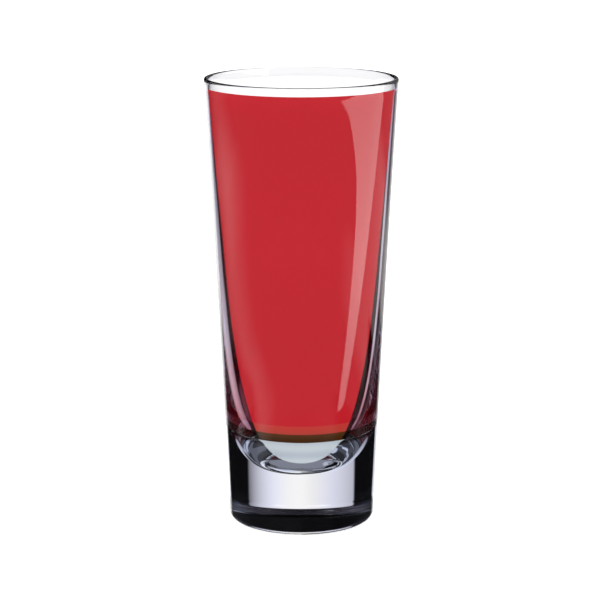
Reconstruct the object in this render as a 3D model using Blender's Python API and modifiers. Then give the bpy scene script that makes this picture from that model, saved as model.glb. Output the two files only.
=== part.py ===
"""A bloody caesar: a tall tapered glass with a thick clear base, filled almost to the rim.

Metres, +Z up. The origin is the middle of the underside, on the surface that the glass stands on.
Every piece is turned about Z from an outline of (radius, height) points, so the front is no different
from the back. The drink lies in four level layers, from the cavity's floor up: clear, brown, orange, red.
"""

import math

import bmesh
import bpy
import numpy as np

COLLECTION_NAME = "bloody_caesar"

# The glass.
HEIGHT = 0.165
RIM_RADIUS = 0.0353
FOOT_RADIUS = 0.0269
TAPER_STRAIGHT_SHARE = 0.82  # the rest of the taper grows with the square of the height
FOOT_ROUNDING = 0.0030

# The cavity: a tapered bore that closes below in a bowl with a nearly flat floor.
RIM_THICKNESS = 0.0015
CAVITY_FLOOR = 0.0199
BORE_RADIUS_AT_FLOOR = 0.0211
BOWL_TOP = 0.0978
BOWL_SQUARENESS = 3.0  # 2 would be part of an ellipse
BOWL_FULLNESS = 0.261  # less draws the wall in later and more suddenly

# The drink: the height of each layer's top.
CLEAR_TOP = 0.0341
BROWN_TOP = 0.0373
ORANGE_TOP = 0.0406
RED_TOP = 0.1615
MENISCUS_RISE = 0.0003
MENISCUS_WIDTH = 0.0012
CLEARANCE = 0.0003  # between pieces that touch
FLOOR_CLEARANCE = 0.00045  # under the lowest layer, which ends there in a small flat disc

# How finely the pieces are faceted.
SEGMENTS = 64
WALL_STEPS = 8
BOWL_STEPS = 14
BOWL_EASE = 3.2
ROUND_STEPS = 6
MERGE_DISTANCE = 0.00001


def clear_scene():
    for obj in list(bpy.data.objects):
        bpy.data.objects.remove(obj)


def outer_radius(height):
    """Radius of the outside wall, which flares a little more towards the rim."""
    t = height / HEIGHT
    share = TAPER_STRAIGHT_SHARE * t + (1 - TAPER_STRAIGHT_SHARE) * t * t
    return FOOT_RADIUS + (RIM_RADIUS - FOOT_RADIUS) * share


def cavity_radius(height):
    """Radius of the inside wall. Below BOWL_TOP the bowl draws it in, to nothing at the floor."""
    t = (height - CAVITY_FLOOR) / (HEIGHT - CAVITY_FLOOR)
    bore = BORE_RADIUS_AT_FLOOR + (RIM_RADIUS - RIM_THICKNESS - BORE_RADIUS_AT_FLOOR) * t
    depth = max(0.0, 1 - (height - CAVITY_FLOOR) / (BOWL_TOP - CAVITY_FLOOR))
    return bore * (1 - depth ** BOWL_SQUARENESS) ** BOWL_FULLNESS


def spread(start, end, steps, ease=1.0):
    """Values from start to end, with both ends. An ease over 1 crowds them towards start."""
    return [start + (end - start) * (i / steps) ** ease for i in range(steps + 1)]


def arc(centre_radius, centre_height, size, start_degrees, end_degrees):
    """Points on a quarter or half circle of an outline, with both ends."""
    points = []
    for angle in spread(math.radians(start_degrees), math.radians(end_degrees), ROUND_STEPS):
        radius = centre_radius + size * math.cos(angle)
        points.append((radius, centre_height + size * math.sin(angle)))
    return points


def cavity_wall(top):
    """Outline of the cavity from the middle of its floor up to a height."""
    heights = spread(CAVITY_FLOOR, BOWL_TOP, BOWL_STEPS, BOWL_EASE)
    heights += spread(BOWL_TOP, top, WALL_STEPS)[1:]
    return [(cavity_radius(height), height) for height in heights]


def glass_outline():
    """From the middle of the cavity's floor, up the inside, over the rim, down the outside and under."""
    half_rim = RIM_THICKNESS / 2
    rim_base = HEIGHT - half_rim
    points = cavity_wall(rim_base)
    points += arc(RIM_RADIUS - half_rim, rim_base, half_rim, 180, 0)[1:]
    wall_heights = spread(rim_base, FOOT_ROUNDING, WALL_STEPS)[1:]
    points += [(outer_radius(height), height) for height in wall_heights]
    foot_centre = outer_radius(FOOT_ROUNDING) - FOOT_ROUNDING
    points += arc(foot_centre, FOOT_ROUNDING, FOOT_ROUNDING, 0, -90)[1:]
    return points + [(0.0, 0.0)]


def inset(points):
    """The cavity's outline moved in by CLEARANCE, square to the wall."""
    moved = []
    for i, (radius, height) in enumerate(points):
        before = points[max(i - 1, 0)]
        after = points[min(i + 1, len(points) - 1)]
        along_radius = after[0] - before[0]
        along_height = after[1] - before[1]
        length = math.hypot(along_radius, along_height)
        new_radius = max(0.0, radius - CLEARANCE * along_height / length)
        new_height = height + CLEARANCE * along_radius / length
        moved.append((new_radius, new_height))
    return moved


def drink_wall(low, high):
    """Side of the drink from one height up to another, CLEARANCE inside the cavity's wall."""
    radii, heights = zip(*inset(cavity_wall(HEIGHT)))
    levels = [low, *(height for height in heights if low < height < high), high]
    return list(zip(np.interp(levels, heights, radii).tolist(), levels))


def layer_outline(low, high):
    """From the middle of a layer's top, out to the wall, down it and back to the middle."""
    return [(0.0, high), *reversed(drink_wall(low, high)), (0.0, low)]


def top_layer_outline(low, high):
    """As layer_outline, with the liquid's edge drawn up a little where it wets the wall."""
    points = layer_outline(low, high)
    edge_radius = points[1][0]
    meniscus = []
    for share in spread(0.0, 1.0, ROUND_STEPS):
        radius = edge_radius - MENISCUS_WIDTH * (1 - share)
        meniscus.append((radius, high + MENISCUS_RISE * share * share))
    return [points[0], *meniscus, *points[2:]]


def make_material(name, color, roughness, transmission=0.0, ior=1.45):
    material = bpy.data.materials.new(name)
    material.use_nodes = True
    shader = material.node_tree.nodes["Principled BSDF"]
    shader.inputs["Base Color"].default_value = (*color, 1.0)
    shader.inputs["Metallic"].default_value = 0.0
    shader.inputs["Roughness"].default_value = roughness
    shader.inputs["Transmission Weight"].default_value = transmission
    shader.inputs["IOR"].default_value = ior
    return material


def turn(name, outline, material, collection, parent):
    """A solid turned about Z from its outline."""
    mesh = bpy.data.meshes.new(name)
    outline_mesh = bmesh.new()
    corners = [outline_mesh.verts.new((radius, 0.0, height)) for radius, height in outline]
    for a, b in zip(corners, corners[1:]):
        outline_mesh.edges.new((a, b))
    outline_mesh.to_mesh(mesh)
    outline_mesh.free()
    mesh.materials.append(material)
    obj = bpy.data.objects.new(name, mesh)
    collection.objects.link(obj)
    obj.parent = parent
    screw = obj.modifiers.new("Turn", "SCREW")
    screw.axis = "Z"
    screw.angle = math.tau
    screw.steps = SEGMENTS
    screw.render_steps = SEGMENTS
    screw.use_merge_vertices = True
    screw.merge_threshold = MERGE_DISTANCE
    screw.use_smooth_shade = True
    return obj


def main():
    clear_scene()
    collection = bpy.data.collections.new(COLLECTION_NAME)
    bpy.context.scene.collection.children.link(collection)
    origin = bpy.data.objects.new("origin", None)
    collection.objects.link(origin)

    clear_glass = make_material("clear_glass", (0.96, 0.97, 1.0), 0.0, 1.0, 1.5)
    red = make_material("red_drink", (0.53, 0.024, 0.033), 0.15)
    orange = make_material("orange_layer", (0.48, 0.055, 0.045), 0.2)
    brown = make_material("brown_layer", (0.09, 0.035, 0.012), 0.2)
    clear_drink = make_material("clear_layer", (0.80, 0.87, 0.93), 0.0, 1.0, 1.33)

    gap = CLEARANCE / 2
    clear_outline = layer_outline(CAVITY_FLOOR + FLOOR_CLEARANCE, CLEAR_TOP - gap)
    brown_outline = layer_outline(CLEAR_TOP + gap, BROWN_TOP - gap)
    orange_outline = layer_outline(BROWN_TOP + gap, ORANGE_TOP - gap)
    red_outline = top_layer_outline(ORANGE_TOP + gap, RED_TOP)

    turn("glass", glass_outline(), clear_glass, collection, origin)
    turn("drink_clear_layer", clear_outline, clear_drink, collection, origin)
    turn("drink_brown_layer", brown_outline, brown, collection, origin)
    turn("drink_orange_layer", orange_outline, orange, collection, origin)
    turn("drink_red", red_outline, red, collection, origin)


main()
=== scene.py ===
"""Looks of a bloody caesar in a tall tapered glass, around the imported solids.

Metres, +Z up, the glass's axis at x = y = 0, as in the frame. The glass is clear and bends light, so
most of what shows in it is the studio, which is all in the world: white panels with dark flags between
them, a window card on the right and a soft card on the left. What light a ray meets there depends on
whether the outside of the glass mirrored it, or it went through the glass, or it was mirrored inside.

In the studio, azimuths are in degrees from straight behind the glass (+Y), positive towards +X, away
is the same without its sign, and turned is counted from straight in front instead. Elevations are in
degrees above the horizon, and a level of light of 1 is white. A named pair of angles says where a soft
edge starts and where it ends, a triple gives a card's two edges and how soft they are, and a pair or
a longer list of pairs is a graph of (angle, number) points.
"""

import math

import bmesh
import bpy
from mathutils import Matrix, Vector


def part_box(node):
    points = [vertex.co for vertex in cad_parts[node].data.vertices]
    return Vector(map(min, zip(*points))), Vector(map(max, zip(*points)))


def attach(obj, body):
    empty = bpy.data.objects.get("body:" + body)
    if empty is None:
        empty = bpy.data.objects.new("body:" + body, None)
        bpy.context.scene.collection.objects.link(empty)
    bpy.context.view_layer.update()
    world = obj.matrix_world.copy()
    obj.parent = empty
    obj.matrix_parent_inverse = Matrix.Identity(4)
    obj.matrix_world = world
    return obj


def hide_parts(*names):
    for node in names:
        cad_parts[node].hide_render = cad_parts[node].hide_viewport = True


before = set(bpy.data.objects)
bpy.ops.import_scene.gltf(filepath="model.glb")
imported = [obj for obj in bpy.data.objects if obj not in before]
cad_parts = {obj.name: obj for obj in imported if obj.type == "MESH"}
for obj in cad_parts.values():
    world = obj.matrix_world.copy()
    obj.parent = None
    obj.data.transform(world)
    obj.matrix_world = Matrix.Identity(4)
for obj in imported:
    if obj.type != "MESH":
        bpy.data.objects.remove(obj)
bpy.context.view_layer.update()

# The glass, as in the solids.
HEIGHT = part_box("glass")[1].z
RIM_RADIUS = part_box("glass")[1].x
FOOT_RADIUS = 0.0269
TAPER_STRAIGHT_SHARE = 0.82
FOOT_ROUNDING = 0.0030
RIM_THICKNESS = 0.0015
CAVITY_FLOOR = 0.0199
BORE_RADIUS_AT_FLOOR = 0.0211
BOWL_TOP = 0.0978
BOWL_SQUARENESS = 3.0
BOWL_FULLNESS = 0.261

# The drink: the height of each layer's top, as in the solids.
CLEAR_TOP = 0.0341
BROWN_TOP = 0.0373
ORANGE_TOP = 0.0406
RED_TOP = 0.1615
MENISCUS_RISE = 0.0003
MENISCUS_WIDTH = 0.0012
INTO_WALL = 0.0001
BETWEEN_LAYERS = 0.00001

# How finely the pieces are made.
SEGMENTS = 256
BOWL_STEPS = 120
BOWL_EASE = 3.2
BORE_STEPS = 60
OUTSIDE_STEPS = 80
ROUND_STEPS = 16
UNDERSIDE_STEPS = 12
UNDERSIDE_EASE = 2.0
LEVEL_STEPS = 8
MENISCUS_STEPS = 12
CORNER_ANGLE = math.radians(150)
CORNER_SIZE = 0.000004
MERGE_DISTANCE = 0.000001

# The camera, as fitted to the photo's rim, foot and sides. Focal length is for a 36 mm sensor.
CAMERA_SIDE = -0.00045
CAMERA_DISTANCE = 0.8527
CAMERA_HEIGHT = 0.2607
CAMERA_PITCH = 11.797
SENSOR = 36.0
LENS = 141.7

FLOOR_RADIUS = 12.0
FLOOR_SEGMENTS = 64
FLOOR_DROP = 0.0001  # below the glass's foot
FLOOR_COLOUR = (0.9, 0.9, 0.9, 1.0)
FLOOR_GLOW = 0.5


# Outlines


def outer_radius(height):
    """Radius of the outside wall, which flares a little more towards the rim."""
    t = height / HEIGHT
    share = TAPER_STRAIGHT_SHARE * t + (1 - TAPER_STRAIGHT_SHARE) * t * t
    return FOOT_RADIUS + (RIM_RADIUS - FOOT_RADIUS) * share


def cavity_radius(height):
    """Radius of the inside wall. Below BOWL_TOP the bowl draws it in, to nothing at the floor."""
    t = (height - CAVITY_FLOOR) / (HEIGHT - CAVITY_FLOOR)
    bore = BORE_RADIUS_AT_FLOOR + (RIM_RADIUS - RIM_THICKNESS - BORE_RADIUS_AT_FLOOR) * t
    depth = max(0.0, 1 - (height - CAVITY_FLOOR) / (BOWL_TOP - CAVITY_FLOOR))
    return bore * (1 - depth ** BOWL_SQUARENESS) ** BOWL_FULLNESS


def spread(start, end, steps, ease=1.0):
    """Values from start to end, with both ends. An ease over 1 crowds them towards start."""
    return [start + (end - start) * (i / steps) ** ease for i in range(steps + 1)]


def arc(centre_radius, centre_height, size, start_degrees, end_degrees):
    """Points on part of a circle of an outline, with both ends."""
    points = []
    for angle in spread(math.radians(start_degrees), math.radians(end_degrees), ROUND_STEPS):
        radius = centre_radius + size * math.cos(angle)
        points.append((radius, centre_height + size * math.sin(angle)))
    return points


def cavity_wall(low, high):
    """Outline of the cavity from one height up to another."""
    heights = spread(CAVITY_FLOOR, BOWL_TOP, BOWL_STEPS, BOWL_EASE)
    heights += spread(BOWL_TOP, HEIGHT, BORE_STEPS)[1:]
    levels = [low, *(height for height in heights if low < height < high), high]
    return [(cavity_radius(height), height) for height in levels]


def glass_outline():
    """From the middle of the cavity's floor, up the inside, over the rim, down the outside and under."""
    half_rim = RIM_THICKNESS / 2
    rim_base = HEIGHT - half_rim
    points = cavity_wall(CAVITY_FLOOR, rim_base)
    points += arc(RIM_RADIUS - half_rim, rim_base, half_rim, 180, 0)[1:]
    wall_heights = spread(rim_base, FOOT_ROUNDING, OUTSIDE_STEPS)[1:]
    points += [(outer_radius(height), height) for height in wall_heights]
    foot_centre = outer_radius(FOOT_ROUNDING) - FOOT_ROUNDING
    points += arc(foot_centre, FOOT_ROUNDING, FOOT_ROUNDING, 0, -90)[1:]
    underside = spread(foot_centre, 0.0, UNDERSIDE_STEPS, UNDERSIDE_EASE)[1:]
    return points + [(radius, 0.0) for radius in underside]


def layer_outline(low, high):
    """From the middle of a layer's top, out into the wall, down it and back to the middle."""
    side = [(radius + INTO_WALL, height) for radius, height in cavity_wall(low, high)]
    top = [(radius, high) for radius in spread(0.0, side[-1][0], LEVEL_STEPS)[:-1]]
    bottom = [(radius, low) for radius in spread(side[0][0], 0.0, LEVEL_STEPS)[1:]]
    return [*top, *reversed(side), *bottom]


def clear_layer_outline(high):
    """The lowest layer follows the bowl right down to the middle of its floor."""
    wall = cavity_wall(CAVITY_FLOOR, high)
    side = [(radius + INTO_WALL, height - INTO_WALL) for radius, height in wall[1:-1]]
    top = [(radius, high) for radius in spread(0.0, wall[-1][0] + INTO_WALL, LEVEL_STEPS)]
    return [*top, *reversed(side), (0.0, CAVITY_FLOOR - INTO_WALL)]


def red_outline(low, high):
    """As layer_outline, with the liquid's edge drawn up a little where it wets the wall."""
    side = layer_outline(low, high)[LEVEL_STEPS:]
    wall = side[0][0] - INTO_WALL
    meniscus = []
    for share in spread(0.0, 1.0, MENISCUS_STEPS):
        radius = wall - MENISCUS_WIDTH * (1 - share)
        meniscus.append((radius, high + MENISCUS_RISE * share * share))
    flat = [(radius, high) for radius in spread(0.0, wall - MENISCUS_WIDTH, LEVEL_STEPS)[:-1]]
    return [*flat, *meniscus, (side[0][0], high + MENISCUS_RISE), *side[1:]]


def crisp(outline):
    """The outline with points close beside its corners, so that smooth shading keeps them sharp."""
    points = []
    for i, point in enumerate(outline):
        if not 0 < i < len(outline) - 1:
            points.append(point)
            continue
        before = Vector(outline[i - 1]) - Vector(point)
        after = Vector(outline[i + 1]) - Vector(point)
        if before.angle(after) > CORNER_ANGLE:
            points.append(point)
            continue
        near_before = Vector(point) + before.normalized() * CORNER_SIZE
        near_after = Vector(point) + after.normalized() * CORNER_SIZE
        points += [tuple(near_before), point, tuple(near_after)]
    return points


def turn(name, outline):
    """A smooth solid turned about Z from its outline."""
    mesh = bpy.data.meshes.new(name)
    outline_mesh = bmesh.new()
    corners = [outline_mesh.verts.new((radius, 0.0, height)) for radius, height in outline]
    for a, b in zip(corners, corners[1:]):
        outline_mesh.edges.new((a, b))
    outline_mesh.to_mesh(mesh)
    outline_mesh.free()
    piece = bpy.data.objects.new(name, mesh)
    bpy.context.scene.collection.objects.link(piece)
    screw = piece.modifiers.new("Turn", "SCREW")
    screw.axis = "Z"
    screw.angle = math.tau
    screw.steps = SEGMENTS
    screw.render_steps = SEGMENTS
    screw.use_merge_vertices = True
    screw.merge_threshold = MERGE_DISTANCE
    screw.use_smooth_shade = True
    return piece


# Nodes


def feed(tree, socket, value):
    """A link, a colour or a number into a socket."""
    if isinstance(value, bpy.types.NodeSocket):
        tree.links.new(value, socket)
    elif isinstance(value, tuple):
        socket.default_value = (*value, 1.0)
    else:
        socket.default_value = value


def add(tree, kind, values=(), **settings):
    """A new node, with its settings and with what is fed into its first inputs."""
    node = tree.nodes.new(kind)
    for name, value in settings.items():
        setattr(node, name, value)
    for socket, value in zip(node.inputs, values):
        if value is not None:
            feed(tree, socket, value)
    return node


def maths(tree, operation, *values):
    return add(tree, "ShaderNodeMath", values, operation=operation).outputs[0]


def plus(tree, first, second):
    return maths(tree, "ADD", first, second)


def minus(tree, first, second):
    return maths(tree, "SUBTRACT", first, second)


def without(tree, share):
    """What a share of 0 to 1 leaves."""
    return minus(tree, 1.0, share)


def positive(tree, value):
    return maths(tree, "MAXIMUM", value, 0.0)


def ever(tree, count):
    """1 where a count is 1 or more, and 0 where it is 0."""
    return maths(tree, "MINIMUM", count, 1.0)


def times(tree, *values):
    """The product of two or more values."""
    product = values[0]
    for value in values[1:]:
        product = maths(tree, "MULTIPLY", product, value)
    return product


def brightest(tree, *values):
    """The largest of two or more values."""
    largest = values[0]
    for value in values[1:]:
        largest = maths(tree, "MAXIMUM", largest, value)
    return largest


def rise(tree, value, start, end):
    """0 up to start and 1 from end on, smooth between them. Start may be the larger."""
    values = (value, start, end, 0.0, 1.0)
    return add(tree, "ShaderNodeMapRange", values, interpolation_type="SMOOTHSTEP").outputs[0]


def slide(tree, value, start, end, first, last):
    """From first at start to last at end, straight between them and level outside."""
    return add(tree, "ShaderNodeMapRange", (value, start, end, first, last)).outputs[0]


def graph(tree, value, points):
    """A number read off a graph of straight lines through (value, number) points, level outside them."""
    number = points[0][1]
    for (start, first), (end, last) in zip(points, points[1:]):
        number = plus(tree, number, slide(tree, value, start, end, 0.0, last - first))
    return number


def between(tree, value, low, high, soft):
    """1 between low and high, with edges that are soft to each side of them."""
    above = rise(tree, value, low - soft, low + soft)
    below = rise(tree, value, high + soft, high - soft)
    return times(tree, above, below)


def card(tree, azimuth, elevation, sides, heights, level):
    """A plain card of light, with soft edges."""
    across = between(tree, azimuth, *sides)
    upright = between(tree, elevation, *heights)
    return times(tree, across, upright, level)


def blend(tree, share, first, second):
    """From the first number to the second by a share of 0 to 1."""
    node = add(tree, "ShaderNodeMix", (share,), data_type="FLOAT")
    feed(tree, node.inputs[2], first)
    feed(tree, node.inputs[3], second)
    return node.outputs[0]


def blend_colours(tree, share, first, second):
    """From the first colour to the second by a share of 0 to 1."""
    node = add(tree, "ShaderNodeMix", (share,), data_type="RGBA")
    feed(tree, node.inputs[6], first)
    feed(tree, node.inputs[7], second)
    return node.outputs[2]


# Studio, as it shows straight through the glass

# The white panel behind the glass, which doesn't fade in one band in the middle.
BACK_HALF_WIDTH = ((-18.0, 39.0), (-12.0, 33.0))
BACK_SIDE = (-1.5, 1.5)
BACK_TOP = (12.5, 9.5)
BACK_FADE_LEFT = 0.0148  # for each degree
BACK_FADE_RIGHT = 0.00074  # for each square degree
EVEN_HEIGHTS = (-9.2, -2.0, 1.2)
EVEN_SIDE = (17.0, 11.0)

# The panels beside and in front of the glass, and the room, table and ceiling around them.
SIDE_PANEL = (69.0, 112.0, 1.5)
FRONT_PANEL = (146.0, 149.0)
PANEL_LEVEL = 0.85
ROOM = (66.0, 70.0)
ROOM_LEVEL = 0.15
PANEL_HEIGHTS = (-24.0, 12.0, 2.0)
TABLE = (-48.0, -60.0)
TABLE_LEVEL = 0.12
CEILING = (40.0, 60.0)
CEILING_LEVEL = 0.9
DARK = 0.004


def back_panel(tree, azimuth, elevation):
    """The white panel behind the glass, which fades a little to its sides."""
    away = maths(tree, "ABSOLUTE", azimuth)
    on_left = maths(tree, "LESS_THAN", azimuth, 0.0)
    half_width = graph(tree, elevation, BACK_HALF_WIDTH)
    inside = rise(tree, minus(tree, half_width, away), *BACK_SIDE)
    fade_left = times(tree, away, BACK_FADE_LEFT)
    fade_right = times(tree, away, away, BACK_FADE_RIGHT)
    even = times(tree, between(tree, elevation, *EVEN_HEIGHTS), rise(tree, away, *EVEN_SIDE))
    fade = times(tree, blend(tree, on_left, fade_right, fade_left), without(tree, even))
    return times(tree, inside, without(tree, fade), rise(tree, elevation, *BACK_TOP))


def ceiling(tree, elevation):
    return times(tree, rise(tree, elevation, *CEILING), CEILING_LEVEL)


def seen_through(tree, azimuth, elevation):
    """Four white panels around the glass, with dark flags beside the one behind it."""
    away = maths(tree, "ABSOLUTE", azimuth)
    panels = brightest(tree, between(tree, away, *SIDE_PANEL), rise(tree, away, *FRONT_PANEL))
    room = times(tree, rise(tree, away, *ROOM), ROOM_LEVEL)
    around = brightest(tree, times(tree, panels, PANEL_LEVEL), room)
    around = times(tree, around, between(tree, elevation, *PANEL_HEIGHTS))
    table = times(tree, rise(tree, elevation, *TABLE), TABLE_LEVEL)
    back = back_panel(tree, azimuth, elevation)
    return brightest(tree, back, around, table, ceiling(tree, elevation), DARK)


# Studio, as it shows after one mirroring inside the glass

# The window, which shows after any number of mirrorings. A card is its sides, heights and level.
WINDOW_INSIDE = ((-33.0, 33.0, 1.5), (-9.0, 7.0, 1.5), 0.8)

# What shows between the outside of the glass and the drink.
WALL_HEIGHTS = (-62.0, -9.5, 1.5)
WALL_MIDDLE = (-2.0, 2.0)
LEFT_WALL = (
    (-37.0, 0.01),
    (-33.5, 0.38),
    (-31.0, 0.50),
    (-25.0, 0.68),
    (-18.0, 0.92),
    (-8.0, 1.0),
)
LEFT_WALL_SHIFT = ((-19.0, 0.0), (-14.0, 6.5))
LEFT_WALL_LEVEL = ((-42.0, 0.8), (-33.0, 1.0))
LOW_BUMP = (-51.0, -40.0, 1.5)
LOW_BUMP_TOP = (-31.0, -33.5)
LOW_BUMP_LEVEL = 0.12
STRIPE = (25.5, 33.2, 1.6)
STRIPE_LEVEL = ((-42.0, 0.42), (-33.0, 0.68))
PATCH = ((4.0, 0.45), (15.0, 0.06), (24.0, 0.04))
PATCH_END = (26.5, 23.5)
PATCH_LEVEL = (
    (-42.0, 1.2),
    (-36.0, 0.5),
    (-28.0, 0.3),
    (-22.0, 0.8),
    (-16.0, 0.9),
    (-12.0, 1.6),
)

# Along the foot of the ring under the bowl.
RING_FLOOR = (-45.5, -48.0)
RING_FLOOR_LEVEL = 0.18
RING_FOOT_SIDE = (55.0, 58.0)
RING_FOOT_TOP = (-31.0, -36.0)
RING_FOOT_LEVEL = 0.24
RING_FOOT_CARD = ((62.0, 92.0, 2.5), (-54.0, -43.0, 2.5), 0.5)


def wall_light(tree, azimuth, elevation):
    """A fading panel on the left, and a bright stripe and a dim patch on the right."""
    shifted = minus(tree, azimuth, graph(tree, elevation, LEFT_WALL_SHIFT))
    left_level = graph(tree, elevation, LEFT_WALL_LEVEL)
    left = times(tree, graph(tree, shifted, LEFT_WALL), left_level)
    bump = times(tree, between(tree, azimuth, *LOW_BUMP), rise(tree, elevation, *LOW_BUMP_TOP))
    left = brightest(tree, left, times(tree, bump, LOW_BUMP_LEVEL))
    stripe = times(tree, between(tree, azimuth, *STRIPE), graph(tree, elevation, STRIPE_LEVEL))
    patch = times(tree, graph(tree, azimuth, PATCH), graph(tree, elevation, PATCH_LEVEL))
    right = brightest(tree, stripe, times(tree, patch, rise(tree, azimuth, *PATCH_END)))
    both = blend(tree, rise(tree, azimuth, *WALL_MIDDLE), left, right)
    return times(tree, both, between(tree, elevation, *WALL_HEIGHTS))


def ring_floor_light(tree, azimuth, elevation):
    """Along the foot of the ring, where the mirrored view looks steeply down."""
    away = maths(tree, "ABSOLUTE", azimuth)
    floor = times(tree, rise(tree, elevation, *RING_FLOOR), RING_FLOOR_LEVEL)
    foot = times(tree, rise(tree, away, *RING_FOOT_SIDE), rise(tree, elevation, *RING_FOOT_TOP))
    foot = times(tree, foot, RING_FOOT_LEVEL)
    return brightest(tree, floor, foot, card(tree, azimuth, elevation, *RING_FOOT_CARD))


# Studio, as it shows after more mirrorings inside the glass

RING_SIDE = (60.0, 65.0)
RING_SIDE_LEVEL_LEFT = 0.085
RING_SIDE_LEVEL_RIGHT = 0.14
RING_LEFT_TO_RIGHT = (-20.0, 20.0)
RING_SIDE_HEIGHTS = (14.0, 62.0, 1.5)
RING_SIDE_DIMMING = ((32.0, 1.0), (38.0, 0.35))
RING_CARDS = (
    ((-86.0, -50.0, 1.5), (11.0, 15.0, 1.5), 0.36),
    ((-112.0, -83.0, 2.5), (15.0, 23.0, 2.5), 0.65),
    ((-131.0, -104.0, 2.5), (22.0, 28.0, 2.5), 0.5),
    ((-179.0, -114.0, 2.5), (30.0, 36.0, 2.5), 0.65),
    ((-68.0, -56.0, 2.5), (26.0, 56.0, 2.5), 0.62),
)
UNDER_WINDOW = ((21.0, 45.0, 3.0), (-16.5, -9.0, 1.5), 0.24)  # on both sides
RING_BASE = ((18.0, 0.045), (27.0, 0.018))

# Between these counts of mirrorings, once turns into more than once.
REPEATED = (1.4, 1.6)


def ring_light(tree, azimuth, elevation):
    """Mostly for the thick ring under the bowl: dim sides with a few small cards."""
    away = maths(tree, "ABSOLUTE", azimuth)
    to_right = rise(tree, azimuth, *RING_LEFT_TO_RIGHT)
    level = blend(tree, to_right, RING_SIDE_LEVEL_LEFT, RING_SIDE_LEVEL_RIGHT)
    level = times(tree, level, graph(tree, elevation, RING_SIDE_DIMMING))
    sides = times(tree, rise(tree, away, *RING_SIDE), between(tree, elevation, *RING_SIDE_HEIGHTS), level)
    cards = [card(tree, azimuth, elevation, *ring_card) for ring_card in RING_CARDS]
    under_window = card(tree, away, elevation, *UNDER_WINDOW)
    return brightest(tree, sides, *cards, under_window, graph(tree, elevation, RING_BASE))


def mirrored_inside(tree, azimuth, elevation, repeated):
    """Repeated is 1 where the light was mirrored more than once."""
    window = card(tree, azimuth, elevation, *WINDOW_INSIDE)
    wall = wall_light(tree, azimuth, elevation)
    once = brightest(tree, window, wall, ring_floor_light(tree, azimuth, elevation))
    again = brightest(tree, window, ring_light(tree, azimuth, elevation))
    return blend(tree, repeated, once, again)


# Studio, as the outside of the glass mirrors it

# The window card's far edge, which comes in faster and faster below a certain elevation.
FAR_TOP = -10.4
FAR_EDGE = 115.7
FAR_SLOPE = 3.9
FAR_BEND = 0.0285
TIP_START = 8.3  # degrees under FAR_TOP
TIP_BEND = 20.0

# Its near edge, with a flare that joins it to an arm along the top.
NEAR_TOP = -13.2
NEAR_EDGE = 77.5
NEAR_BEND = 0.618
NEAR_FLARE = 17.5
NEAR_FLARE_SHRINKS = -2.0
ARM_UNDERSIDE = (-13.25, -13.1)
ARM_END = (40.0, 42.0)

CARD_EDGE = (-0.8, 0.8)
CARD_FOOT = (-19.6, -19.2)
CARD_LEVEL = ((-19.2, 2.7), (-15.5, 3.85), (-10.5, 1.925))

# A glow around the window card, which ends before the edges of the glass.
GLOW_SIDE = (35.0, 78.0)
GLOW_HEIGHTS = (-17.4, -15.2, 0.8)
BEYOND_SIDE = (75.0, 85.0)
BEYOND_HEIGHTS = (-17.4, -11.2, 0.9)
GLOW_LEVEL = 0.72
FOOT_GLOW_SIDE = (60.0, 75.0)
FOOT_GLOW_BOTTOM = (-19.0, -18.2)
FOOT_GLOW_LEVEL = 0.2
WALL_EDGE = (126.0, 134.0)
WALL_EDGE_TOP = (-13.4, -14.2)
LOW_EDGE = (104.0, 114.0)
LOW_EDGE_SHIFT = ((-17.6, 8.0), (-16.4, 0.0))
LOW_EDGE_TOP = (-15.25, -15.65)

# The soft card on the left, all by elevation: where it is brightest, how far it fades before that
# and after it, and its level.
SOFT_CARD_PEAK = (
    (-19.2, 62.0),
    (-18.2, 69.0),
    (-17.2, 86.0),
    (-16.2, 95.0),
    (-15.0, 102.0),
    (-12.8, 105.0),
    (-11.2, 118.0),
)
SOFT_CARD_REACH = (
    (-19.2, 40.0),
    (-18.2, 24.0),
    (-15.0, 46.0),
    (-13.8, 47.0),
    (-12.5, 29.0),
)
SOFT_CARD_FALL = ((-17.0, 14.0), (-16.2, 20.0), (-15.4, 28.0))
SOFT_CARD_LEVEL = (
    (-20.5, 0.0),
    (-19.5, 0.85),
    (-18.2, 0.92),
    (-16.2, 0.70),
    (-15.0, 0.68),
    (-12.8, 1.02),
    (-12.0, 0.80),
    (-10.6, 0.34),
)

# What the glass's edges mirror from behind it, and the dim front of the room.
BEHIND_LEFT = (36.0, 27.0)
BEHIND_LEFT_LEVEL = 1.9
BEHIND_RIGHT = (31.0, 19.0)
BEHIND_TOP = (-6.3, -6.9)
FRONT_SIDE = (74.0, 92.0)
FRONT_SHIFT = ((-19.0, 45.0), (-18.3, 0.0))
FRONT_LEVEL = ((-20.8, 0.03), (-19.8, 0.25))


def window_far_edge(tree, elevation):
    drop = positive(tree, minus(tree, FAR_TOP, elevation))
    tip = positive(tree, minus(tree, drop, TIP_START))
    edge = minus(tree, FAR_EDGE, times(tree, drop, FAR_SLOPE))
    edge = minus(tree, edge, times(tree, drop, drop, drop, FAR_BEND))
    return minus(tree, edge, times(tree, tip, tip, TIP_BEND))


def window_near_edge(tree, elevation):
    drop = positive(tree, minus(tree, NEAR_TOP, elevation))
    flare = maths(tree, "EXPONENT", times(tree, drop, NEAR_FLARE_SHRINKS))
    edge = minus(tree, NEAR_EDGE, times(tree, drop, drop, NEAR_BEND))
    return minus(tree, edge, times(tree, flare, NEAR_FLARE))


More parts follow.
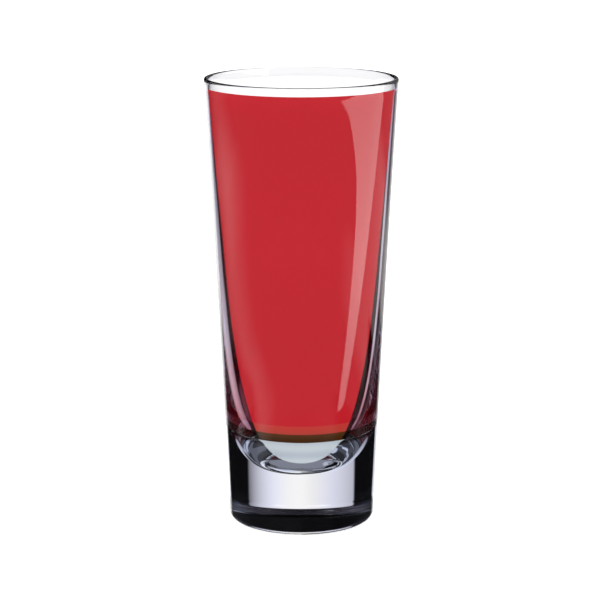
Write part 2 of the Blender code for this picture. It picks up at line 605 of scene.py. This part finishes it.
def window_glow(tree, turned, elevation):
    """The soft light around the window card."""
    glow = times(tree, rise(tree, turned, *GLOW_SIDE), between(tree, elevation, *GLOW_HEIGHTS))
    beyond = times(tree, rise(tree, turned, *BEYOND_SIDE), between(tree, elevation, *BEYOND_HEIGHTS))
    foot = times(tree, rise(tree, turned, *FOOT_GLOW_SIDE), rise(tree, elevation, *FOOT_GLOW_BOTTOM))
    glow = times(tree, brightest(tree, glow, beyond), GLOW_LEVEL)
    glow = brightest(tree, glow, times(tree, foot, FOOT_GLOW_LEVEL))
    wall_edge = times(tree, rise(tree, turned, *WALL_EDGE), rise(tree, elevation, *WALL_EDGE_TOP))
    lowered = plus(tree, turned, graph(tree, elevation, LOW_EDGE_SHIFT))
    low_edge = times(tree, rise(tree, lowered, *LOW_EDGE), rise(tree, elevation, *LOW_EDGE_TOP))
    return times(tree, glow, without(tree, brightest(tree, wall_edge, low_edge)))


def window_card(tree, azimuth, elevation):
    """The hard-edged card on the right, as its mirror image in the wall tells its shape."""
    on_right = maths(tree, "GREATER_THAN", azimuth, 0.0)
    turned = minus(tree, 180.0, azimuth)
    inside_far = rise(tree, minus(tree, window_far_edge(tree, elevation), turned), *CARD_EDGE)
    inside_near = rise(tree, minus(tree, turned, window_near_edge(tree, elevation)), *CARD_EDGE)
    arm = times(tree, rise(tree, elevation, *ARM_UNDERSIDE), rise(tree, turned, *ARM_END))
    inside = times(tree, inside_far, brightest(tree, inside_near, arm), rise(tree, elevation, *CARD_FOOT))
    light = times(tree, inside, graph(tree, elevation, CARD_LEVEL))
    return times(tree, brightest(tree, light, window_glow(tree, turned, elevation)), on_right)


def soft_card(tree, azimuth, elevation):
    """The soft card on the left, brightest near its far edge."""
    turned = plus(tree, 180.0, azimuth)
    offset = minus(tree, turned, graph(tree, elevation, SOFT_CARD_PEAK))
    reach = graph(tree, elevation, SOFT_CARD_REACH)
    fall_in = rise(tree, maths(tree, "DIVIDE", offset, reach), -1.0, 0.0)
    fall_out = rise(tree, offset, graph(tree, elevation, SOFT_CARD_FALL), 0.0)
    return times(tree, fall_in, fall_out, graph(tree, elevation, SOFT_CARD_LEVEL))


def reflected(tree, azimuth, elevation):
    away = maths(tree, "ABSOLUTE", azimuth)
    on_right = maths(tree, "GREATER_THAN", azimuth, 0.0)
    behind_left = times(tree, rise(tree, away, *BEHIND_LEFT), BEHIND_LEFT_LEVEL)
    behind = blend(tree, on_right, behind_left, rise(tree, away, *BEHIND_RIGHT))
    behind = times(tree, behind, rise(tree, elevation, *BEHIND_TOP))
    shifted = minus(tree, away, graph(tree, elevation, FRONT_SHIFT))
    front = times(tree, rise(tree, shifted, *FRONT_SIDE), graph(tree, elevation, FRONT_LEVEL))
    window = window_card(tree, azimuth, elevation)
    soft = soft_card(tree, azimuth, elevation)
    return brightest(tree, behind, front, ceiling(tree, elevation), window, soft)


# The whole studio

FILL = 1.3  # an even light on surfaces that scatter it
BACKDROP = 1.0  # straight past the glass
WHITE = (1.0, 1.0, 1.0)
COOL_WHITE = (1.0, 1.02, 1.19)  # through the glass, away from its middle
COOL_SIDE = (3.0, 20.0)
FROM_DRINK = (1.3, 0.12, 0.22)  # low down after more than one mirroring
FROM_DRINK_TOP = (-17.0, -18.5)
MAX_BOUNCES = 32
GLASS_BOUNCES = 24


def studio_light(tree, path, azimuth, elevation):
    """The level of light for a ray, by the path that it has behind it."""
    repeated = rise(tree, path["Glossy Depth"], *REPEATED)
    straight = seen_through(tree, azimuth, elevation)
    mirrored = mirrored_inside(tree, azimuth, elevation, repeated)
    inside = blend(tree, ever(tree, path["Glossy Depth"]), straight, mirrored)
    outside = reflected(tree, azimuth, elevation)
    light = blend(tree, ever(tree, path["Transmission Depth"]), outside, inside)
    light = blend(tree, ever(tree, path["Diffuse Depth"]), light, FILL)
    return blend(tree, path["Is Camera Ray"], light, BACKDROP)


def studio_colour(tree, path, azimuth, elevation):
    away = maths(tree, "ABSOLUTE", azimuth)
    repeated = rise(tree, path["Glossy Depth"], *REPEATED)
    unscattered = without(tree, ever(tree, path["Diffuse Depth"]))
    in_glass = times(tree, ever(tree, path["Transmission Depth"]), unscattered)
    cool = times(tree, in_glass, rise(tree, away, *COOL_SIDE))
    colour = blend_colours(tree, cool, WHITE, COOL_WHITE)
    from_drink = times(tree, in_glass, repeated, rise(tree, elevation, *FROM_DRINK_TOP))
    return blend_colours(tree, from_drink, colour, FROM_DRINK)


def make_studio():
    world = bpy.data.worlds.new("studio")
    bpy.context.scene.world = world
    world.use_nodes = True
    world.cycles.sampling_method = "NONE"
    tree = world.node_tree
    tree.nodes.clear()
    direction = add(tree, "ShaderNodeTexCoord").outputs["Generated"]
    x, y, z = add(tree, "ShaderNodeSeparateXYZ", (direction,)).outputs
    azimuth = maths(tree, "DEGREES", maths(tree, "ARCTAN2", x, y))
    elevation = maths(tree, "DEGREES", maths(tree, "ARCSINE", z))
    path = add(tree, "ShaderNodeLightPath").outputs
    light = studio_light(tree, path, azimuth, elevation)
    colour = studio_colour(tree, path, azimuth, elevation)
    background = add(tree, "ShaderNodeBackground", (colour, light))
    add(tree, "ShaderNodeOutputWorld", (background.outputs[0],))
    scene = bpy.context.scene
    scene.view_settings.view_transform = "Standard"
    scene.cycles.max_bounces = MAX_BOUNCES
    scene.cycles.glossy_bounces = GLASS_BOUNCES
    scene.cycles.transmission_bounces = GLASS_BOUNCES


# Camera and floor


def make_camera():
    data = bpy.data.cameras.new("camera")
    data.sensor_width = SENSOR
    data.lens = LENS
    camera = bpy.data.objects.new("camera", data)
    bpy.context.scene.collection.objects.link(camera)
    camera.location = (CAMERA_SIDE, -CAMERA_DISTANCE, CAMERA_HEIGHT)
    camera.rotation_euler = (math.radians(90 - CAMERA_PITCH), 0.0, 0.0)
    bpy.context.scene.camera = camera


def make_floor():
    """A plain white floor, lit evenly. The glass's own rays pass it and meet the studio."""
    mesh = bpy.data.meshes.new("floor")
    disc = bmesh.new()
    bmesh.ops.create_circle(disc, cap_ends=True, segments=FLOOR_SEGMENTS, radius=FLOOR_RADIUS)
    disc.to_mesh(mesh)
    disc.free()
    floor = bpy.data.objects.new("floor", mesh)
    bpy.context.scene.collection.objects.link(floor)
    floor.location.z = -FLOOR_DROP
    material = bpy.data.materials.new("floor")
    material.use_nodes = True
    shader = material.node_tree.nodes["Principled BSDF"]
    shader.inputs["Base Color"].default_value = FLOOR_COLOUR
    shader.inputs["Roughness"].default_value = 1.0
    shader.inputs["Specular IOR Level"].default_value = 0.0
    shader.inputs["Emission Color"].default_value = (1.0, 1.0, 1.0, 1.0)
    shader.inputs["Emission Strength"].default_value = FLOOR_GLOW
    mesh.materials.append(material)
    floor.visible_diffuse = False
    floor.visible_glossy = False
    floor.visible_transmission = False


# Materials

GLASS_COLOUR = (0.985, 0.985, 1.0)
GLASS_IOR = 1.5
DRINK_ROUGHNESS = 0.5

# The drink's side shows its own colour up to this slant, and is a mirror beyond it. Hold is how much
# of a mirror it is there.
SLANT = 0.260
CLEAR_SLANT = 0.258
SLANT_EDGE = 0.006
RED_HOLD = 0.97
BAND_HOLD = 0.95
CLEAR_HOLD = 1.0

# The side as a ray meets it that was mirrored before: its colour turns to a near-black grey, which is
# painted shade, and the mirror's tint to near white.
AGAIN_PAINTED_SHADE = (0.012, 0.012, 0.014)
AGAIN_TINT = (0.93, 0.95, 1.0)

# The dark strip beside the drink's own colour: by height, the slant at which it ends.
STRIP_END = (
    (0.0428, 0.302),
    (0.0590, 0.298),
    (0.0685, 0.292),
    (0.0780, 0.283),
    (0.0850, 0.278),
    (0.1220, 0.274),
)
STRIP_EDGE = (-0.004, 0.004)

# The red drink. Each colour is a pair, between which a fine mottle changes it a little.
MOTTLE_SCALE = 420.0
MOTTLE_DETAIL = 3.0
MOTTLE_ROUGHNESS = 0.6
MOTTLE_SPAN = (0.35, 0.65)
RED_HIGH = ((0.828, 0.0232, 0.0370), (0.848, 0.0262, 0.0400))
RED_LOW = ((0.695, 0.0190, 0.0305), (0.715, 0.0220, 0.0335))
# The upward face takes a darker copy of the red: painted shade on the top.
RED_SURFACE_PAINTED_SHADE = ((0.47, 0.0200, 0.0300), (0.51, 0.0240, 0.0350))
RED_HEIGHTS = ((0.045, 0.0), (0.105, 1.0))  # from RED_LOW to RED_HIGH

# The tint of the mirror, which reddens on the way down: where a change starts, where it ends, and
# the tint there.
RED_TINT_AT_TOP = (1.0, 0.98, 1.0)
RED_TINTS = (
    (0.110, 0.085, (1.0, 0.86, 0.88)),
    (0.074, 0.056, (1.0, 0.62, 0.64)),
    (0.056, 0.042, (1.0, 0.48, 0.52)),
)

# The same in the dark strip beside the drink's own colour, and far out at the walls.
RED_STRIP_AT_TOP = (1.0, 0.8, 0.95)
RED_STRIP_LOW = (1.0, 0.20, 0.32)
RED_STRIP_HEIGHTS = (0.095, 0.070)
RED_OUTER_TINT = (0.55, 0.16, 0.20)
RED_OUTER_SLANT = (0.42, 0.45)
RED_OUTER_HEIGHTS = (0.076, 0.062)

# The drink's surface, which goes white at a low angle, and sooner along its wet edge: a painted sheen, a
# white colour standing in for reflection.
UPWARD = (0.4, 0.9)
PAINTED_SURFACE_SHEEN = (0.92, 0.92, 0.92)
PAINTED_SHEEN_SLANT = (0.70, 0.86)
WET_EDGE_SLANT = (0.40, 0.50)
WET_EDGE = (RED_TOP, RED_TOP + 0.00002)

# The two thin layers: colour at the foot and at the top, and the tint of the mirror.
BROWN_COLOURS = ((0.062, 0.020, 0.0035), (0.10, 0.036, 0.011))
BROWN_TINT = (0.42, 0.34, 0.30)
ORANGE_COLOURS = ((0.58, 0.062, 0.045), (0.68, 0.052, 0.045))
ORANGE_TINT = (1.0, 0.58, 0.70)
BAND_STRIP_DARKENING = 0.12

# The clear layer, painted pale with faint painted rings that stand in for the light seen through the
# bowl's floor. A share of it lets light straight through.
CLEAR_PAINTED_LIGHT = ((0.70, 0.79, 0.88), (0.86, 0.94, 1.0))
PAINTED_RING_WAVES = 2600.0  # radians for each metre
THROUGH_SHARE = 0.21
THROUGH_COLOUR = (0.92, 0.95, 0.98)
CLEAR_TINT = (0.9, 0.94, 1.0)
CLEAR_TOP_TINT = (0.22, 0.21, 0.21)
CLEAR_TOP_HEIGHTS = (0.0318, 0.0332)


def new_material(name):
    material = bpy.data.materials.new(name)
    material.use_nodes = True
    return material, material.node_tree, material.node_tree.nodes["Principled BSDF"]


def set_surface(tree, surface):
    tree.links.new(surface, tree.nodes["Material Output"].inputs["Surface"])


def matt(tree, shader, colour):
    """The colour given, without gloss, as the glass in front of it has that: the drink's own colour,
    except in the clear layer, where it is painted light.
    """
    shader.inputs["Roughness"].default_value = DRINK_ROUGHNESS
    shader.inputs["Specular IOR Level"].default_value = 0.0
    tree.links.new(colour, shader.inputs["Base Color"])
    return shader.outputs[0]


def diffuse(tree, colour):
    return add(tree, "ShaderNodeBsdfDiffuse", (colour,)).outputs[0]


def mixed(tree, share, first, second):
    return add(tree, "ShaderNodeMixShader", (share, first, second)).outputs[0]


def slant_of(tree):
    """0 where the ray meets the surface head-on, and 1 where it only grazes it."""
    return add(tree, "ShaderNodeLayerWeight", (0.5,)).outputs["Facing"]


def ray_count(tree, name):
    """1 where the ray has had a bounce of that kind."""
    return ever(tree, add(tree, "ShaderNodeLightPath").outputs[name])


def place_of(tree):
    """The x, y and z of the surface."""
    position = add(tree, "ShaderNodeNewGeometry").outputs["Position"]
    return add(tree, "ShaderNodeSeparateXYZ", (position,)).outputs


def glass_material():
    material, tree, shader = new_material("clear_glass")
    shader.inputs["Base Color"].default_value = (*GLASS_COLOUR, 1.0)
    shader.inputs["Roughness"].default_value = 0.0
    shader.inputs["Transmission Weight"].default_value = 1.0
    shader.inputs["IOR"].default_value = GLASS_IOR
    return material


def wall_mirror(tree, tint):
    """The thin film of air along the wall, which throws slanting light back into the glass."""
    return add(tree, "ShaderNodeBsdfAnisotropic", (tint, 0.0)).outputs[0]


def wetted(tree, body, tint, hold, slant):
    """A drink's body behind the wall: its own colour from the front, a mirror where light slants."""
    again = ray_count(tree, "Glossy Depth")
    # Where the ray was mirrored before, the body is painted near-black grey as shade.
    body = mixed(tree, again, body, diffuse(tree, AGAIN_PAINTED_SHADE))
    tint = blend_colours(tree, again, tint, AGAIN_TINT)
    hold = blend(tree, again, hold, 1.0)
    share = times(tree, rise(tree, slant_of(tree), slant - SLANT_EDGE, slant + SLANT_EDGE), hold)
    return mixed(tree, share, body, wall_mirror(tree, tint))


def strip_tint(tree, height, dark, light):
    """Dark beside the drink's own colour and light further out, where the view slants more."""
    offset = minus(tree, slant_of(tree), graph(tree, height, STRIP_END))
    return blend_colours(tree, rise(tree, offset, *STRIP_EDGE), dark, light)


def mottled(tree, mottle, colours):
    return blend_colours(tree, rise(tree, mottle, *MOTTLE_SPAN), *colours)


def red_tint(tree, height):
    """The tint of the mirror beside the red drink."""
    tint = RED_TINT_AT_TOP
    for start, end, lower_tint in RED_TINTS:
        tint = blend_colours(tree, rise(tree, height, start, end), tint, lower_tint)
    low = rise(tree, height, *RED_STRIP_HEIGHTS)
    strip = blend_colours(tree, low, RED_STRIP_AT_TOP, RED_STRIP_LOW)
    tint = strip_tint(tree, height, strip, tint)
    outer = rise(tree, slant_of(tree), *RED_OUTER_SLANT)
    outer = times(tree, outer, rise(tree, height, *RED_OUTER_HEIGHTS))
    return blend_colours(tree, outer, tint, RED_OUTER_TINT)


def red_surface(tree, height, colour):
    """The upward face, white at a low angle or when it shows through the wall: a painted sheen, a white
    colour standing in for reflection.
    """
    slant = slant_of(tree)
    wet_edge = rise(tree, height, *WET_EDGE)
    painted_sheen = blend(tree, wet_edge, rise(tree, slant, *PAINTED_SHEEN_SLANT), rise(tree, slant, *WET_EDGE_SLANT))
    # Seen through the wall, the face is painted white all over, as a painted reflection.
    painted_sheen = blend(tree, ray_count(tree, "Transmission Depth"), painted_sheen, 1.0)
    return mixed(tree, painted_sheen, diffuse(tree, colour), diffuse(tree, PAINTED_SURFACE_SHEEN))


def red_material():
    material, tree, shader = new_material("red_drink")
    noise = (None, None, MOTTLE_SCALE, MOTTLE_DETAIL, MOTTLE_ROUGHNESS)
    mottle = add(tree, "ShaderNodeTexNoise", noise).outputs[0]
    height = place_of(tree)[2]
    low, high = mottled(tree, mottle, RED_LOW), mottled(tree, mottle, RED_HIGH)
    body = matt(tree, shader, blend_colours(tree, graph(tree, height, RED_HEIGHTS), low, high))
    side = wetted(tree, body, red_tint(tree, height), RED_HOLD, SLANT)
    # The upward face in its darker copy of the red, which is painted shade.
    top = red_surface(tree, height, mottled(tree, mottle, RED_SURFACE_PAINTED_SHADE))
    normal = add(tree, "ShaderNodeNewGeometry").outputs["Normal"]
    normal_z = add(tree, "ShaderNodeSeparateXYZ", (normal,)).outputs[2]
    set_surface(tree, mixed(tree, rise(tree, normal_z, *UPWARD), side, top))
    return material


def band_material(name, heights, colours, tint):
    """A thin layer, whose colour changes a little from its foot to its top."""
    material, tree, shader = new_material(name)
    height = place_of(tree)[2]
    body = matt(tree, shader, blend_colours(tree, rise(tree, height, *heights), *colours))
    strip = tuple(BAND_STRIP_DARKENING * part for part in tint)
    tint = strip_tint(tree, height, strip, tint)
    set_surface(tree, wetted(tree, body, tint, BAND_HOLD, SLANT))
    return material


def clear_layer_material():
    """Pale and matt with faint rings where the bowl's floor bends the light, all painted light; a share
    of it is clear.
    """
    material, tree, shader = new_material("clear_layer")
    x, y, height = place_of(tree)
    radius = maths(tree, "SQRT", plus(tree, times(tree, x, x), times(tree, y, y)))
    painted_ring_wave = maths(tree, "SINE", times(tree, radius, PAINTED_RING_WAVES))
    # Painted light: a pale colour with faint rings, for what shows through the bowl's floor.
    colour = blend_colours(tree, slide(tree, painted_ring_wave, -1.0, 1.0, 0.0, 1.0), *CLEAR_PAINTED_LIGHT)
    through = add(tree, "ShaderNodeBsdfTransparent", (THROUGH_COLOUR,)).outputs[0]
    body = mixed(tree, THROUGH_SHARE, matt(tree, shader, colour), through)
    tint = blend_colours(tree, rise(tree, height, *CLEAR_TOP_HEIGHTS), CLEAR_TINT, CLEAR_TOP_TINT)
    set_surface(tree, wetted(tree, body, tint, CLEAR_HOLD, CLEAR_SLANT))
    return material


# Pieces


def dress(piece, node, material):
    piece.data.materials.append(material)
    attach(piece, "root")
    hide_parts(node)


def make_drink():
    gap = BETWEEN_LAYERS
    clear = turn("clear_liquid", crisp(clear_layer_outline(CLEAR_TOP)))
    brown = turn("brown_liquid", crisp(layer_outline(CLEAR_TOP + gap, BROWN_TOP)))
    orange = turn("orange_liquid", crisp(layer_outline(BROWN_TOP + gap, ORANGE_TOP)))
    red = turn("red_liquid", crisp(red_outline(ORANGE_TOP + gap, RED_TOP)))
    brown_look = band_material("brown_layer", (CLEAR_TOP, BROWN_TOP), BROWN_COLOURS, BROWN_TINT)
    orange_look = band_material("orange_layer", (BROWN_TOP, ORANGE_TOP), ORANGE_COLOURS, ORANGE_TINT)
    dress(clear, "drink_clear_layer", clear_layer_material())
    dress(brown, "drink_brown_layer", brown_look)
    dress(orange, "drink_orange_layer", orange_look)
    dress(red, "drink_red", red_material())


make_camera()
make_studio()
make_floor()
dress(turn("drinking_glass", glass_outline()), "glass", glass_material())
make_drink()
